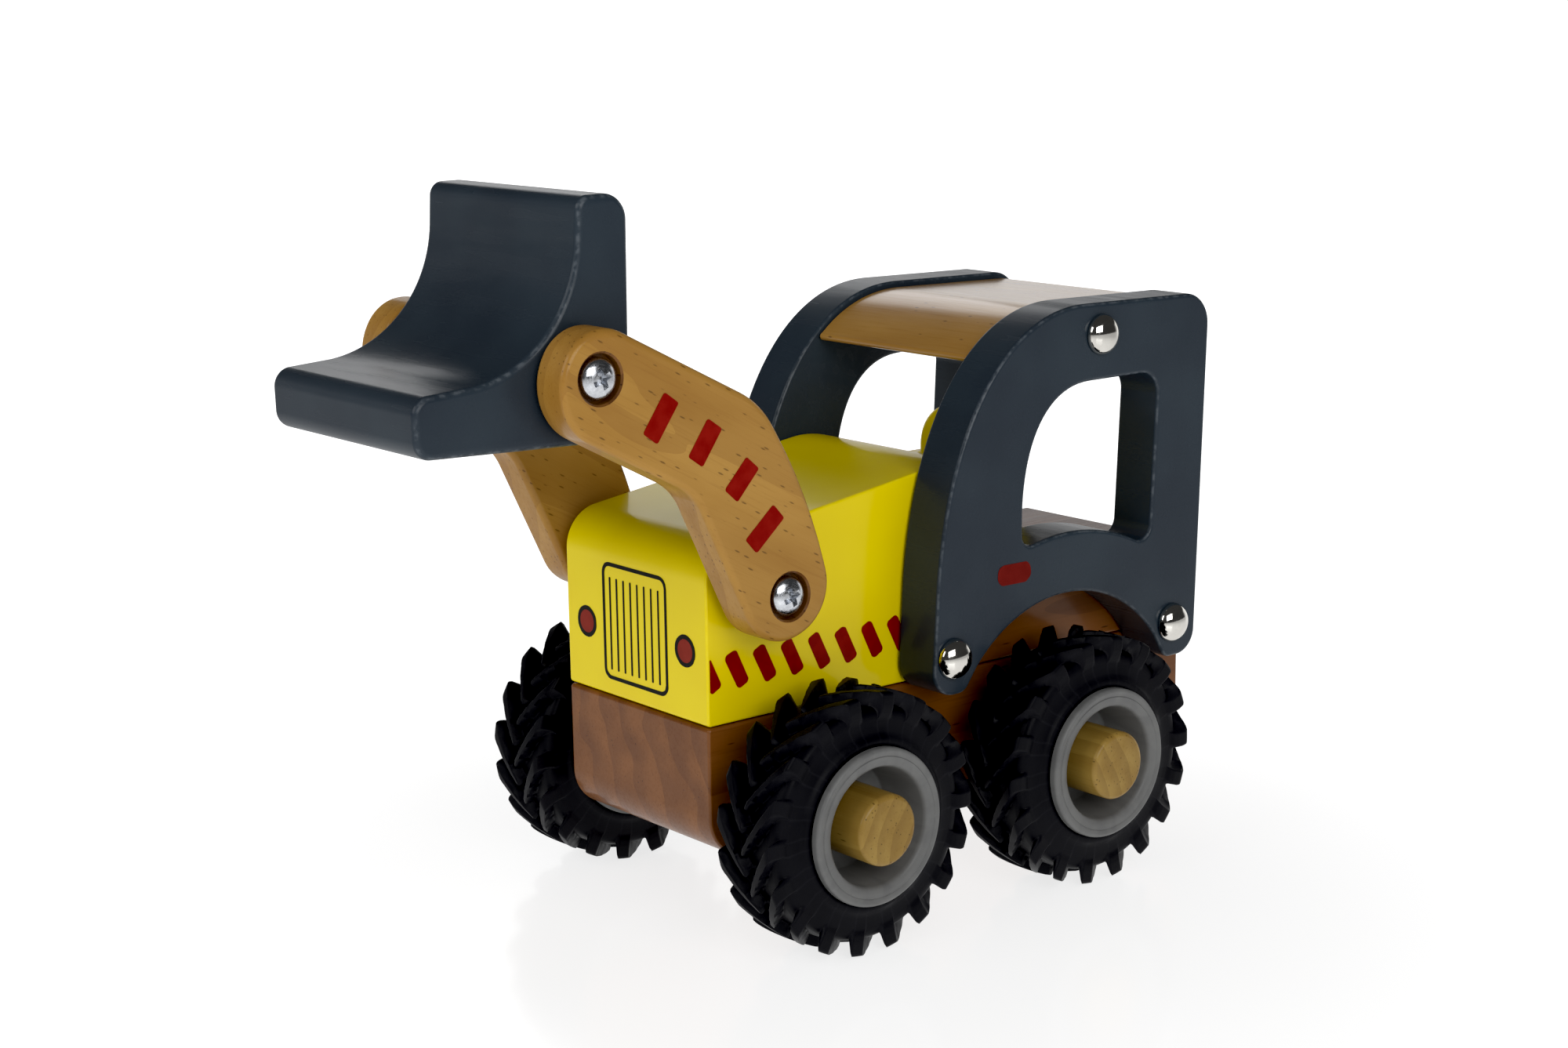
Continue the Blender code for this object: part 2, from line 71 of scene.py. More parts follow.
AMBIENT = 0.28                              # the dark room's strength as diffuse surfaces see it
BEHIND_TOY = (-0.777, 0.629, 0.0)           # the level direction from the camera towards the backdrop

# Body outlines (y, z)
BODY_LENGTH = 126.0
CHASSIS_BOTTOM = 16.6
SEAM = 42.6
SEAM_GAP = 0.3
FLOOR_TOP = 60.2
HOOD_LENGTH = 67.0
ROOF_BOTTOM = 103.8
ROOF_INSET = 1.2
SEAT_SHOULDER = 79.7
HEADREST_RADIUS = 9.3
WHEEL_HEIGHT = 25.0                         # the axles' height
AXLE_BORE = 4.4                             # radius of the holes that the axles turn in
ARM_PIVOT = (11.0, 67.7)
BUCKET_PIVOT = (-29.4, 111.9)

# Fasteners
COUNTERBORE_RADIUS = 4.4
COUNTERBORE_DEPTH = 2.2
SCREW_HEAD_RADIUS = 3.7
SCREW_HEAD_HEIGHT = 2.7
SCREW_LIFT = 1.2                            # how much prouder the fine heads stand than the CAD's
SCREW_SHANK_RADIUS = 1.9
NAIL_HEAD_RADIUS = 4.0
NAIL_HEAD_HEIGHT = 2.6
NAIL_SHANK_RADIUS = 1.0

# Tyres, in mm from the tyre's middle and its axle
TYRE_HALF = 7.55
TYRE_RADIUS = 25.0
LUGS_PER_ROW = 18
STEPS_PER_LUG = 32
LUG_SKEW = 24.0
LUG_SHOULDER_HALF = 4.7
LUG_MIDDLE_HALF = 2.6
LUG_CROSSING = 0.5
LUG_WALL = 0.55
LUG_CORNER = 0.8

record = frame["record"]
BODY_OF = {node: body for body, nodes in record["behaviour"]["bodies"].items() for node in nodes}


# Points and outlines -----------------------------------------------------------------------------

def at(x, y, z):
    """A place in metres in the frame."""
    return Vector((x * MM, (y + NOSE_Y) * MM, z * MM))


def reach(node):
    """How far from the toy's middle plane a node's box begins and ends, in mm."""
    return sorted(abs(corner.x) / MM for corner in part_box(node))


def middle_yz(node):
    """The middle of a node's box, measured as the outlines are."""
    low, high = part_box(node)
    return (low.y + high.y) / 2 / MM - NOSE_Y, (low.z + high.z) / 2 / MM


def arc(centre, radius, start, end, step=4):
    """Points on a circle between two angles in degrees, both ends included."""
    count = max(2, math.ceil(abs(end - start) / step) + 1)
    angles = [math.radians(start + (end - start) * i / (count - 1)) for i in range(count)]
    return [(centre[0] + radius * math.cos(a), centre[1] + radius * math.sin(a)) for a in angles]


def bezier(p0, p1, p2, p3, count=36):
    """Points on a cubic Bezier curve, both ends included."""
    points = []
    for i in range(count):
        t = i / (count - 1)
        s = 1 - t
        weights = (s * s * s, 3 * s * s * t, 3 * s * t * t, t * t * t)
        points.append(tuple(sum(w * p[k] for w, p in zip(weights, (p0, p1, p2, p3))) for k in (0, 1)))
    return points


def rounded(corners, step=6):
    """Replace each (y, z, radius) corner by an arc, and keep plain (y, z) points as they are."""
    outline = []
    for i, corner in enumerate(corners):
        point = Vector(corner[:2])
        radius = corner[2] if len(corner) > 2 else 0
        if radius == 0:
            outline.append(tuple(point))
            continue
        before = (Vector(corners[i - 1][:2]) - point).normalized()
        after = (Vector(corners[(i + 1) % len(corners)][:2]) - point).normalized()
        half = before.angle(after) / 2
        centre = point + (before + after).normalized() * radius / math.sin(half)
        first = point + before * radius / math.tan(half) - centre
        last = point + after * radius / math.tan(half) - centre
        turn = first.angle_signed(last)
        count = max(2, math.ceil(abs(math.degrees(turn)) / step) + 1)
        for k in range(count):
            share = k / (count - 1)
            swing = math.sin((1 - share) * turn), math.sin(share * turn)
            outline.append(tuple(centre + (first * swing[0] + last * swing[1]) / math.sin(turn)))
    return outline


def rounded_box(low_y, high_y, low_z, high_z, corner, step):
    """An upright rectangle with rounded corners."""
    corners = [(low_y, low_z), (high_y, low_z), (high_y, high_z), (low_y, high_z)]
    return rounded([(*point, corner) for point in corners], step)


def smooth_step(low, high, value):
    """A value eased from 0 at one end of a range to 1 at the other."""
    t = min(1.0, max(0.0, (value - low) / (high - low)))
    return t * t * (3 - 2 * t)


# Material building -------------------------------------------------------------------------------

class Nodes:
    """A node tree, with one short call for each kind of node."""

    def __init__(self, tree):
        self.tree = tree

    def node(self, kind, **settings):
        made = self.tree.nodes.new(kind)
        for key, value in settings.items():
            setattr(made, key, value)
        return made

    def put(self, socket, value):
        """Set a socket to a number or colour, or link it to another node's output."""
        if isinstance(value, bpy.types.NodeSocket):
            self.tree.links.new(value, socket)
        elif isinstance(value, tuple) and len(value) == 3 and socket.type == "RGBA":
            socket.default_value = (*value, 1)
        else:
            socket.default_value = value

    def math(self, operation, a, b=0.0, clamp=False):
        made = self.node("ShaderNodeMath", operation=operation, use_clamp=clamp)
        self.put(made.inputs[0], a)
        self.put(made.inputs[1], b)
        return made.outputs[0]

    def span(self, value, low, high, to_low=0.0, to_high=1.0):
        """Value eased from one range to another and clamped."""
        made = self.node("ShaderNodeMapRange", interpolation_type="SMOOTHSTEP")
        for socket, number in zip(made.inputs, (value, low, high, to_low, to_high)):
            self.put(socket, number)
        return made.outputs[0]

    def mix(self, share, a, b):
        """A blend of two colours."""
        made = self.node("ShaderNodeMix", data_type="RGBA")
        self.put(made.inputs[0], share)
        self.put(made.inputs[6], a)
        self.put(made.inputs[7], b)
        return made.outputs[2]

    def choose(self, share, a, b):
        """A blend of two numbers."""
        made = self.node("ShaderNodeMix", data_type="FLOAT")
        self.put(made.inputs[0], share)
        self.put(made.inputs[2], a)
        self.put(made.inputs[3], b)
        return made.outputs[0]

    def separate(self, vector):
        apart = self.node("ShaderNodeSeparateXYZ")
        self.put(apart.inputs[0], vector)
        return apart.outputs


class Shader(Nodes):
    """A new material's nodes, with a call for each pattern that the looks are made of."""

    def __init__(self, name):
        self.material = bpy.data.materials.new(name)
        self.material.use_nodes = True
        super().__init__(self.material.node_tree)
        self.surface = self.tree.nodes["Principled BSDF"]

    def set(self, **values):
        """Set the surface's sockets: base_color=..., coat_weight=..."""
        sockets = {socket.name.lower().replace(" ", "_"): socket for socket in self.surface.inputs}
        for key, value in values.items():
            self.put(sockets[key], value)

    def place(self, scale, turn=(0, 0, 0)):
        """Object coordinates in millimetres, turned and then scaled."""
        coordinates = self.node("ShaderNodeTexCoord")
        mapping = self.node("ShaderNodeMapping", vector_type="TEXTURE")
        self.put(mapping.inputs["Vector"], coordinates.outputs["Object"])
        mapping.inputs["Rotation"].default_value = turn
        mapping.inputs["Scale"].default_value = [s * MM for s in scale]
        return mapping.outputs[0]

    def noise(self, where, detail=2.0, roughness=0.5, distortion=0.0):
        made = self.node("ShaderNodeTexNoise")
        self.put(made.inputs["Vector"], where)
        made.inputs["Scale"].default_value = 1.0
        made.inputs["Detail"].default_value = detail
        made.inputs["Roughness"].default_value = roughness
        made.inputs["Distortion"].default_value = distortion
        return made.outputs[0]

    def cells(self, where):
        """Distance to the nearest of a cell pattern's points, and that cell's own random number."""
        made = self.node("ShaderNodeTexVoronoi")
        self.put(made.inputs["Vector"], where)
        made.inputs["Scale"].default_value = 1.0
        apart = self.node("ShaderNodeSeparateColor")
        self.put(apart.inputs[0], made.outputs["Color"])
        return made.outputs["Distance"], apart.outputs[0]

    def attribute(self, name):
        return self.node("ShaderNodeAttribute", attribute_name=name).outputs["Fac"]

    def bump(self, height, distance_mm, strength=1.0, below=None):
        made = self.node("ShaderNodeBump")
        self.put(made.inputs["Height"], height)
        made.inputs["Strength"].default_value = strength
        made.inputs["Distance"].default_value = distance_mm * MM
        if below is not None:
            self.put(made.inputs["Normal"], below)
        return made.outputs[0]


def flecks(shader, turn, length, width, share):
    """Short dark dashes along the grain, as beech shows them. The mask is 1 inside a dash."""
    where = shader.place((length, width, width), turn)
    distance, random_share = shader.cells(where)
    chosen = shader.math("LESS_THAN", random_share, share)
    return shader.math("MULTIPLY", shader.span(distance, 0.09, 0.20, 1.0, 0.0), chosen)


def growth_bands(shader, turn, pith, spacing):
    """Growth rings round a pith line that runs along the grain, as a value from 0 to 1."""
    where = shader.place((1, 1, 1), turn)
    warp = shader.noise(shader.place((90, 14, 14), turn), detail=1.5)
    parts = shader.separate(where)
    y_side = shader.math("POWER", shader.math("SUBTRACT", parts[1], pith[0]), 2.0)
    z_side = shader.math("POWER", shader.math("SUBTRACT", parts[2], pith[1]), 2.0)
    radius = shader.math("SQRT", shader.math("ADD", y_side, z_side))
    rings = shader.math("ADD", shader.math("DIVIDE", radius, spacing), shader.math("MULTIPLY", warp, 1.6))
    return shader.math("FRACT", rings)


def wood(name, turn, pale, mid, dark, pith=(60.0, 80.0), ring_spacing=5.5, fleck=(4.4, 1.0, 0.9),
         gloss=0.25):
    """Lacquered wood: growth bands, soft cloudy tone, dark flecks and fine pores along the grain."""
    shader = Shader(name)
    bands = growth_bands(shader, turn, pith, ring_spacing)
    soft_bands = shader.span(bands, 0.0, 1.0)
    clouds = shader.noise(shader.place((34, 9, 9), turn), detail=3.0)
    fibres = shader.noise(shader.place((14, 0.55, 0.55), turn), detail=3.0, roughness=0.65)
    tone = shader.mix(shader.span(clouds, 0.32, 0.68), mid, pale)
    tone = shader.mix(shader.math("MULTIPLY", soft_bands, 0.32), tone, dark)
    tone = shader.mix(shader.span(fibres, 0.50, 0.78, 0.0, 0.30), tone, dark)
    dashes = flecks(shader, turn, *fleck)
    deep = tuple(0.40 * c for c in dark)
    tone = shader.mix(shader.math("MULTIPLY", dashes, 0.70), tone, deep)
    shader.set(base_color=tone, specular_ior_level=0.15, coat_ior=1.5, coat_weight=gloss, coat_roughness=0.16)
    shader.set(roughness=shader.span(fibres, 0.3, 0.7, 0.40, 0.54))
    height = shader.math("SUBTRACT", fibres, dashes)
    shader.set(normal=shader.bump(height, 0.03, 0.5))
    return shader.material


def paint(name, colour, shade, coat_roughness, coat_weight, scuff, scuff_amount, grain=(3.0, 40.0, 3.0)):
    """Brushed paint over wood: slight tone drift, brush ripple, dust specks and rubbed edges."""
    shader = Shader(name)
    drift = shader.noise(shader.place((22, 22, 22)), detail=2.0)
    ripple = shader.noise(shader.place(grain), detail=2.5, roughness=0.55)
    skin = shader.noise(shader.place((0.9, 0.9, 0.9)), detail=1.0)
    tone = shader.mix(shader.span(drift, 0.3, 0.7), colour, shade)
    rub = shader.noise(shader.place((1.4, 1.4, 1.4)), detail=3.0)
    ridge = shader.math("POWER", shader.attribute("edge"), 5.0)
    worn = shader.math("MULTIPLY", ridge, shader.span(rub, 0.40, 0.66, 0.1, 1.0))
    tone = shader.mix(shader.math("MULTIPLY", worn, scuff_amount, clamp=True), tone, scuff)
    distance, random_share = shader.cells(shader.place((7, 7, 7)))
    speck_here = shader.math("LESS_THAN", random_share, 0.10)
    specks = shader.math("MULTIPLY", shader.span(distance, 0.018, 0.03, 1.0, 0.0), speck_here)
    tone = shader.mix(shader.math("MULTIPLY", specks, 0.5), tone, scuff)
    shader.set(base_color=tone, roughness=0.42, specular_ior_level=0.1, coat_weight=coat_weight, coat_ior=1.5)
    shader.set(coat_roughness=shader.span(ripple, 0.3, 0.7, coat_roughness * 0.7, coat_roughness * 1.4))
    fine = shader.bump(skin, 0.012, 0.35)
    shader.set(normal=shader.bump(ripple, 0.035, 0.5, fine))
    shader.put(shader.surface.inputs["Coat Normal"], shader.bump(ripple, 0.035, 0.35, fine))
    return shader.material


# Materials ---------------------------------------------------------------------------------------

# Turns that lay a texture's own X along the grain
ALONG_Y = (0, 0, math.radians(90))
ALONG_X = (0, 0, 0)
DOWN_ARM = (0, math.radians(28.6), math.radians(90))


def beech_material(name, turn, gloss=0.25, fleck=(4.4, 1.0, 0.9)):
    return wood(name, turn, (0.41, 0.222, 0.046), (0.34, 0.171, 0.030), (0.22, 0.095, 0.016), fleck=fleck,
                gloss=gloss)


def dowel_material():
    """The hub caps' dowel, greener than the arms, with its end grain outwards."""
    return wood("dowel_beech", ALONG_X, (0.32, 0.205, 0.048), (0.25, 0.148, 0.028), (0.13, 0.064, 0.010),
                pith=(22.0, 12.0), ring_spacing=3.4, fleck=(6.0, 1.0, 0.4))


def painted_shade_beech_material():
    """The counterbores' walls, painted dark as the shade inside the recesses."""
    return wood("burnt_beech", ALONG_X, (0.20, 0.085, 0.02), (0.11, 0.04, 0.01), (0.03, 0.01, 0.004))


def stained_material():
    return wood("stained_wood", ALONG_Y, (0.212, 0.076, 0.015), (0.158, 0.052, 0.008), (0.062, 0.015, 0.002),
                pith=(-70.0, 55.0), ring_spacing=7.5, fleck=(7.0, 1.1, 0.25), gloss=0.4)


def yellow_material():
    return paint("yellow_paint", (0.80, 0.640, 0.001), (0.76, 0.59, 0.001), 0.11, 0.35,
                 (0.86, 0.76, 0.06), 0.35, grain=(2.2, 30.0, 2.2))


def grey_material():
    return paint("grey_paint", (0.019, 0.027, 0.038), (0.025, 0.036, 0.048), 0.22, 0.30,
                 (0.16, 0.18, 0.20), 0.5, grain=(26.0, 3.0, 3.0))


def mark_material(name, colour, shade):
    """A hand-printed mark, a little uneven."""
    shader = Shader(name)
    drift = shader.noise(shader.place((2.6, 2.6, 2.6)), detail=3.0)
    skin = shader.noise(shader.place((0.5, 0.5, 0.5)), detail=2.0)
    shader.set(base_color=shader.mix(shader.span(drift, 0.3, 0.7), colour, shade), specular_ior_level=0.08,
               roughness=shader.span(drift, 0.3, 0.7, 0.3, 0.42))
    shader.set(normal=shader.bump(skin, 0.012, 0.4))
    return shader.material


def rubber_material():
    """Moulded rubber: near black, a fine matt skin, faint dust and rubbed raised edges."""
    shader = Shader("tyre_rubber")
    drift = shader.noise(shader.place((6, 6, 6)), detail=3.0)
    skin = shader.noise(shader.place((0.35, 0.35, 0.35)), detail=2.0)
    dust = shader.noise(shader.place((1.1, 1.1, 1.1)), detail=4.0, roughness=0.7)
    tone = shader.mix(shader.span(drift, 0.3, 0.7), (0.0042, 0.0042, 0.0058), (0.0065, 0.0065, 0.0085))
    tone = shader.mix(shader.span(dust, 0.62, 0.80, 0.0, 0.35), tone, (0.018, 0.017, 0.018))
    tone = shader.mix(shader.math("MULTIPLY", shader.attribute("edge"), 0.35), tone, (0.018, 0.018, 0.022))
    shader.set(base_color=tone, specular_ior_level=0.09, roughness=shader.span(drift, 0.3, 0.7, 0.38, 0.52))
    shader.set(normal=shader.bump(skin, 0.02, 0.4))
    return shader.material


def plastic_material():
    """Moulded grey plastic with faint flow marks."""
    shader = Shader("rim_plastic")
    flow = shader.noise(shader.place((14, 3.5, 3.5)), detail=2.5, distortion=0.6)
    skin = shader.noise(shader.place((0.4, 0.4, 0.4)), detail=2.0)
    tone = shader.mix(shader.span(flow, 0.3, 0.7), (0.120, 0.121, 0.120), (0.145, 0.146, 0.143))
    shader.set(base_color=tone, roughness=shader.span(flow, 0.3, 0.7, 0.36, 0.46), specular_ior_level=0.3)
    shader.set(normal=shader.bump(skin, 0.01, 0.35))
    return shader.material


def metal_material(name, colour, shade, roughness, grain_mm, bump_mm):
    """Plated steel: cloudy plate, fine scratches and small dents."""
    shader = Shader(name)
    clouds = shader.noise(shader.place((grain_mm, grain_mm, grain_mm)), detail=3.0, roughness=0.6)
    scratch = shader.noise(shader.place((grain_mm * 0.1, grain_mm, grain_mm * 2)), detail=2.0)
    shader.set(base_color=shader.mix(shader.span(clouds, 0.3, 0.7), colour, shade), metallic=1.0,
               roughness=shader.span(scratch, 0.3, 0.7, roughness * 0.6, roughness * 1.5))
    shader.set(normal=shader.bump(clouds, bump_mm, 0.5))
    return shader.material


# Mesh building -----------------------------------------------------------------------------------

def add_piece(name, mesh, made_of, sharp_angle=40):
    """An object in the scene, shaded smooth up to an angle."""
    piece = bpy.data.objects.new(name, mesh)
    bpy.context.scene.collection.objects.link(piece)
    mesh.materials.clear()
    mesh.materials.append(made_of)
    mesh.shade_smooth()
    mesh.set_sharp_from_angle(angle=math.radians(sharp_angle))
    return piece


def weld(mesh, distance=0.000002):
    """Join points that meet, drop empty faces and turn every face outwards."""
    shape = bmesh.new()
    shape.from_mesh(mesh)
    bmesh.ops.remove_doubles(shape, verts=shape.verts, dist=distance)
    bmesh.ops.dissolve_degenerate(shape, dist=distance, edges=shape.edges)
    bmesh.ops.recalc_face_normals(shape, faces=shape.faces)
    shape.to_mesh(mesh)
    shape.free()


def even_normals(piece):
    """Keep flat faces looking flat beside rounded edges."""
    smooth = piece.modifiers.new("even_normals", "WEIGHTED_NORMAL")
    smooth.keep_sharp = True
    smooth.weight = 90


def cut_flat(name, outlines, thickness, edge, place):
    """A flat shape cut from outlines in a curve's own XY plane and laid out by a matrix.

    Later outlines are holes. A positive edge rounds both faces' edges by that radius.
    """
    flat = bpy.data.curves.new(name, "CURVE")
    flat.dimensions = "2D"
    flat.fill_mode = "BOTH"
    flat.extrude = (thickness / 2 - edge) * MM
    flat.bevel_depth = edge * MM
    flat.bevel_resolution = 4
    flat.offset = -edge * MM
    for points in outlines:
        spline = flat.splines.new("POLY")
        spline.points.add(len(points) - 1)
        for spot, (across, up) in zip(spline.points, points):
            spot.co = (across * MM, up * MM, 0, 1)
        spline.use_cyclic_u = True
    drawn = bpy.data.objects.new(name + "_outline", flat)
    bpy.context.scene.collection.objects.link(drawn)
    bpy.context.view_layer.update()
    mesh = bpy.data.meshes.new_from_object(drawn.evaluated_get(bpy.context.evaluated_depsgraph_get()))
    bpy.data.objects.remove(drawn)
    bpy.data.curves.remove(flat)
    weld(mesh)
    mark_edges(mesh, thickness, edge)
    mesh.transform(place)
    return mesh


def mark_edges(mesh, thickness, edge):
    """An attribute that is 1 along the middle of each rounded edge and 0 on the flat faces."""
    marks = mesh.attributes.new("edge", "FLOAT", "POINT")
    for vertex, mark in zip(mesh.vertices, marks.data):
        if edge <= 0:
            mark.value = 0.0
            continue
        rise = (abs(vertex.co.z) / MM - (thickness / 2 - edge)) / edge
        rise = min(1.0, max(0.0, rise))
        mark.value = 2 * rise * math.sqrt(1 - rise * rise)


def across_toy(middle_x):
    """Lays a flat shape's own X, Y and Z along the toy's Y, Z and X."""
    turn = Matrix(((0, 0, 1), (1, 0, 0), (0, 1, 0))).to_4x4()
    return Matrix.Translation(at(middle_x, 0, 0)) @ turn


def facing_front(middle_y):
    """Lays a flat shape's own X, Y and Z along the toy's X, Z and -Y."""
    turn = Matrix(((1, 0, 0), (0, 0, -1), (0, 1, 0))).to_4x4()
    return Matrix.Translation(at(0, middle_y, 0)) @ turn


def board(node, outlines, made_of, edge):
    """The fine version of a CAD board that is cut across the toy."""
    low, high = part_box(node)
    middle = (low.x + high.x) / 2 / MM
    mesh = cut_flat(node + "_fine", outlines, (high.x - low.x) / MM, edge, across_toy(middle))
    piece = add_piece(node + "_fine", mesh, made_of)
    even_normals(piece)
    return stand_for(piece, node)


def turned_mesh(name, profile, steps):
    """A closed turned mesh about its own Z from (radius, height) points, outer end first."""
    count = len(profile)
    points = []
    for i in range(steps):
        angle = 2 * math.pi * i / steps
        points += [(r * math.cos(angle) * MM, r * math.sin(angle) * MM, h * MM) for r, h in profile]
    faces = []
    for i in range(steps):
        here, there = i * count, (i + 1) % steps * count
        faces += [(here + k, here + (k + 1) % count, there + (k + 1) % count, there + k)
                  for k in range(count)]
    mesh = bpy.data.meshes.new(name)
    mesh.from_pydata(points, [], faces)
    weld(mesh)
    return mesh


def axis_place(sign, y, z):
    """Lays a turned mesh's own Z along +X or -X, from the middle plane."""
    turn = Matrix.Rotation(sign * math.pi / 2, 4, "Y")
    return Matrix.Translation(at(0, y, z)) @ turn


def turned(node, profile, sign, y, z, made_of, steps=72):
    """The fine version of a CAD node that is turned about a line across the toy."""
    mesh = turned_mesh(node + "_fine", profile, steps)
    mesh.transform(axis_place(sign, y, z))
    return stand_for(add_piece(node + "_fine", mesh, made_of), node)


def round_corner(centre, radius, start, end):
    """A turned piece's rounded edge, in six steps."""
    return arc(centre, radius, start, end, step=abs(end - start) / 6)


def stand_for(piece, node):
    """Make a piece ride with a CAD node's body and stand for the node."""
    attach(piece, BODY_OF[node])
    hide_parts(node)
    return piece


def carve(piece, cutter_mesh):
    """Cut a mesh out of a piece for good."""
    cutter = bpy.data.objects.new("cutter", cutter_mesh)
    bpy.context.scene.collection.objects.link(cutter)
    cut = piece.modifiers.new("cut", "BOOLEAN")
    cut.operation = "DIFFERENCE"
    cut.solver = "EXACT"
    cut.object = cutter
    # The cut goes before the modifier that evens the normals.
    piece.modifiers.move(len(piece.modifiers) - 1, 0)
    evener = [m for m in piece.modifiers if m.type == "WEIGHTED_NORMAL"]
    for modifier in evener:
        modifier.show_viewport = False
    bpy.context.view_layer.update()
    cut_mesh = bpy.data.meshes.new_from_object(piece.evaluated_get(bpy.context.evaluated_depsgraph_get()))
    piece.modifiers.remove(cut)
    piece.data = cut_mesh
    for modifier in evener:
        modifier.show_viewport = True
    bpy.data.objects.remove(cutter)


# Wooden body -------------------------------------------------------------------------------------

def make_chassis():
    top = SEAM - SEAM_GAP / 2
    outline = rounded([(0, CHASSIS_BOTTOM, 8.5), (BODY_LENGTH, CHASSIS_BOTTOM, 3),
                       (BODY_LENGTH, top, 0.8), (0, top, 0.8)])
    chassis = board("chassis", [outline], stained, edge=0.6)
    past = 40
    for end in ENDS:
        cutter = turned_mesh("axle_bore", [(0, past), (AXLE_BORE, past), (AXLE_BORE, -past), (0, -past)], 48)
        cutter.transform(axis_place(1, middle_yz(end + "_axle")[0], WHEEL_HEIGHT))
        carve(chassis, cutter)


def make_hood():
    bottom = SEAM + SEAM_GAP / 2
    outline = rounded([(0, bottom, 0.8), (HOOD_LENGTH, bottom, 0.8), (HOOD_LENGTH, 83.6, 2),
                       (61.0, 85.1, 22), (0, 76.5, 8)], step=3)
    board("hood", [outline], yellow, edge=0.5)


def make_cab_floor():
    bottom, front = SEAM + SEAM_GAP / 2, HOOD_LENGTH + SEAM_GAP
    outline = rounded([(front, bottom, 0.8), (BODY_LENGTH, bottom, 0.8),
                       (BODY_LENGTH, FLOOR_TOP, 2), (front, FLOOR_TOP, 0.8)])
    board("cab_floor", [outline], stained, edge=0.6)


def make_seat():
    """An upright with a round headrest that grows out of two shoulders."""
    low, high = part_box("seat")
    half, base = high.x / MM, low.z / MM
    head = arc((0, high.z / MM - HEADREST_RADIUS), HEADREST_RADIUS, -2, 182)
    neck, foot = head[0][0], SEAT_SHOULDER + 0.8
    right = [(half, base), (half, SEAT_SHOULDER, 2), (neck + 1.5, SEAT_SHOULDER), (neck, foot)]
    left = [(-neck, foot), (-neck - 1.5, SEAT_SHOULDER), (-half, SEAT_SHOULDER, 2), (-half, base)]
    depth = (high.y - low.y) / MM
    mesh = cut_flat("seat_fine", [rounded(right + head + left)], depth, 1.2,
                    facing_front(middle_yz("seat")[0]))
    seat = add_piece("seat_fine", mesh, yellow)
    even_normals(seat)
    stand_for(seat, "seat")


# Cab ---------------------------------------------------------------------------------------------

def cab_front_curve(inset=0.0):
    """The cab's front edge, from the hood up to the roof."""
    top = 114.2 - inset
    return bezier((47.2 + inset, 64.0), (50.1 + inset, 93.9), (64.5, top), (86.0, top))


def panel_outline():
    """The panel's outer edge, with the wheel arch and the curved front."""
    centre, radius = (81.4, WHEEL_HEIGHT), 32.0
    front_foot, rear_foot = 41.7, 38.7
    front_angle = 180 - math.degrees(math.asin((front_foot - centre[1]) / radius))
    rear_angle = math.degrees(math.asin((rear_foot - centre[1]) / radius))
    arch = arc(centre, radius, front_angle, rear_angle, step=2.5)
    front = [(45.7, front_foot, 5.2), (*arch[0], 3.2)]
    rear = [(*arch[-1], 2.6), (118.9, rear_foot, 5.2), (122.2, 113.5, 6.5)]
    # The arch's last points give way to its rounded corners.
    return rounded(front + arch[4:-4] + rear + list(reversed(cab_front_curve())))


def window_outline():
    """The window, over a sill that follows the wheel arch."""
    sill = arc((82.2, WHEEL_HEIGHT), 44.3, 100, 66, step=2)
    front = list(reversed(bezier((69.5, 73.0), (69.5, 87.0), (74.9, 98.8), (88.0, 98.8), 24)))
    rear = [(105.2, 63.3, 3.0), (107.3, 98.8, 4.6)]
    return list(reversed(rounded([(69.5, 67.7, 2.2)] + sill + rear + front)))


def make_cab_panel(side):
    board("cab_panel_" + side, [panel_outline(), window_outline()], grey, edge=0.8)


def make_roof():
    top = [point for point in cab_front_curve(ROOF_INSET) if point[1] > ROOF_BOTTOM + 1]
    outline = rounded([(62.9, ROOF_BOTTOM, 0.8), (118.4, ROOF_BOTTOM, 1.2), (118.4, 112.3, 2)]
                      + list(reversed(top)))
    board("cab_roof", [outline], roof_beech, edge=0.4)


# Loader linkage ----------------------------------------------------------------------------------

def arm_outline():
    elbow_top, elbow_low = (5.5, 103.9, 18), (-9.8, 89.2, 12)
    bucket_end = [(-31.9, 123.3, 8.6), (-41.0, 106.0, 10.8)]
    body_end = [(5.4, 56.7, 9.6), (22.2, 63.5, 9.6)]
    bow = (16.1, 86.1, 100)
    return rounded([elbow_top] + bucket_end + [elbow_low] + body_end + [bow], step=3)


def make_arm(side, sign):
    """An arm with a counterbore round each pivot, its walls painted dark as shade."""
    node = "lift_arm_" + side
    arm = board(node, [arm_outline()], arm_beech, edge=1.3)
    outer = reach(node)[1]
    mouth, bore = 0.35, SCREW_SHANK_RADIUS + 0.3
    floor = outer - COUNTERBORE_DEPTH
    above, through = outer + 2, outer - 12
    profile = [(0, above), (COUNTERBORE_RADIUS + mouth, above), (COUNTERBORE_RADIUS + mouth, outer),
               (COUNTERBORE_RADIUS, outer - mouth), (COUNTERBORE_RADIUS, floor), (bore, floor),
               (bore, through), (0, through)]
    for pivot in (ARM_PIVOT, BUCKET_PIVOT):
        cutter = turned_mesh("counterbore", profile, 72)
        cutter.transform(axis_place(sign, *pivot))
        carve(arm, cutter)
    # The counterbores' faces get the darker wood: painted shade in the recesses.
    arm.data.materials.append(burnt_beech)
    for face in arm.data.polygons:
        corners = [arm.data.vertices[i].co for i in face.vertices]
        for pivot in (ARM_PIVOT, BUCKET_PIVOT):
            away = max((corner - at(corner.x / MM, *pivot)).length for corner in corners) / MM
            if away < COUNTERBORE_RADIUS + mouth + 0.02:
                face.material_index = 1


